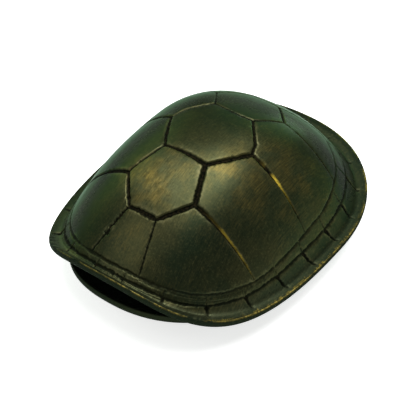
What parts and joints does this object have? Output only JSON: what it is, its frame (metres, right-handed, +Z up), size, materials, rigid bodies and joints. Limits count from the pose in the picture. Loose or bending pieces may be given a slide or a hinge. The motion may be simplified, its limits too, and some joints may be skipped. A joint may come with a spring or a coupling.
{
  "type": "turtle shell",
  "caption": "Small polished turtle shell: a domed carapace with dark grooved scute seams, grown together with its plastron, open at head and tail.",
  "frame": {"origin": "middle of the shell's plan, on the ground plane it rests on", "axes": "+Z up, -Y towards the head end, +X towards the turtle's left"},
  "size_m": [0.0966, 0.1238, 0.0497],
  "materials": {
    "shell_horn": "polished dark olive horn over bone, semi-gloss with fine scratches"
  },
  "bodies": {
    "root": {"turtle_shell": "shell_horn"}
  },
  "joints": []
}
